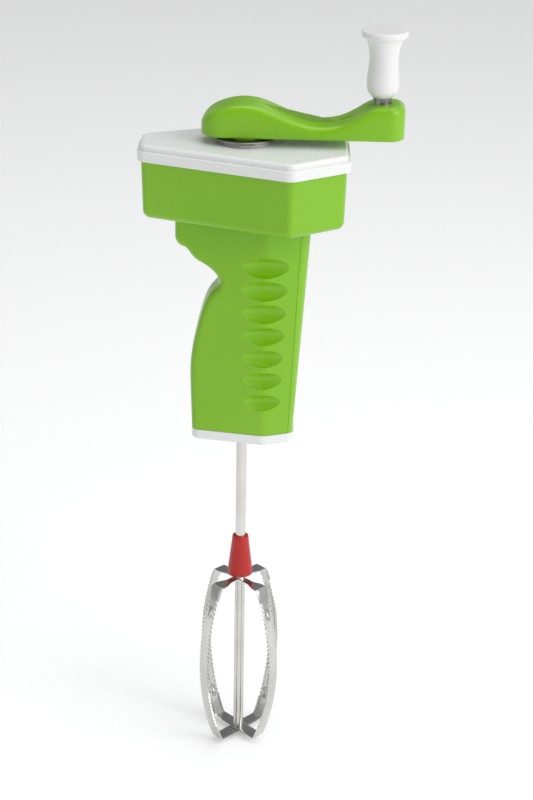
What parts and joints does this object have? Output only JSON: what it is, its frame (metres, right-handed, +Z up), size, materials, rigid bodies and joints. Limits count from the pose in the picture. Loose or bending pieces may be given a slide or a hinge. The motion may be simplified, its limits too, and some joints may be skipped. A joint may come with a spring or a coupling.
{
  "type": "hand-cranked beater",
  "caption": "Hand-cranked kitchen beater: pistol grip, flat crank arm with turned knob on top, geared drive shaft down to a steel balloon beater.",
  "frame": {"origin": "on the drive shaft's axis, level with the grip's lower end, where the hand's hold starts", "axes": "+Z up along the drive shaft towards the head, +X towards the broad front face of the head, +Y to the tool's left"},
  "size_m": [0.1196, 0.0764, 0.3666],
  "materials": {
    "green_shell": "moulded, satin gloss",
    "white_plastic": "moulded, satin gloss",
    "red_plastic": "moulded, gloss",
    "bright_steel": "drawn bar, bright",
    "blade_steel": "plated sheet steel",
    "plate_steel": "plain sheet steel",
    "screw_steel": "zinc plated",
    "gear_plastic": "moulded acetal",
    "bush_plastic": "moulded nylon"
  },
  "bodies": {
    "frame": {"housing": "green_shell", "front_cover": "green_shell", "lid": "white_plastic", "lid_screws": "screw_steel", "bottom_cap": "white_plastic", "cap_screws": "screw_steel", "gear_plate": "plate_steel", "plate_screws": "screw_steel", "spindle_bush": "bush_plastic", "upper_bush": "bush_plastic", "middle_bush": "bush_plastic", "lower_bush": "bush_plastic", "idler_axle": "bright_steel"},
    "crank": {"crank_arm": "green_shell", "hub_disc": "bright_steel", "crank_spindle": "bright_steel", "crank_gear": "gear_plastic", "gear_clip": "screw_steel", "knob_pin": "bright_steel", "knob_screw": "screw_steel"},
    "knob": {"knob": "white_plastic", "knob_plug": "white_plastic"},
    "idler": {"idler_gear": "gear_plastic", "idler_pinion": "gear_plastic"},
    "shaft": {"drive_shaft": "bright_steel", "shaft_clip": "screw_steel", "shaft_pinion": "gear_plastic", "coupling": "red_plastic", "beater_rod": "bright_steel", "beater_rivet": "bright_steel", "beater_loop_a": "blade_steel", "beater_loop_b": "blade_steel"}
  },
  "joints": [
    {"name": "crank_spin", "type": "hinge", "parent": "frame", "child": "crank", "pos_m": [0, 0, 0.138], "axis": [0, 0, 1], "continuous": true},
    {"name": "knob_spin", "type": "hinge", "parent": "crank", "child": "knob", "pos_m": [0.06078, -0.00159, 0.173], "axis": [0, 0, 1], "continuous": true},
    {"name": "idler_spin", "type": "hinge", "parent": "frame", "child": "idler", "pos_m": [0.0204, 0, 0.118], "axis": [0, 0, 1], "continuous": true},
    {"name": "shaft_spin", "type": "hinge", "parent": "frame", "child": "shaft", "pos_m": [0, 0, 0.02], "axis": [0, 0, 1], "continuous": true}
  ],
  "couplings": [
    {"joint": "idler_spin", "follows": "crank_spin", "ratio": -3},
    {"joint": "shaft_spin", "follows": "crank_spin", "ratio": 9}
  ]
}
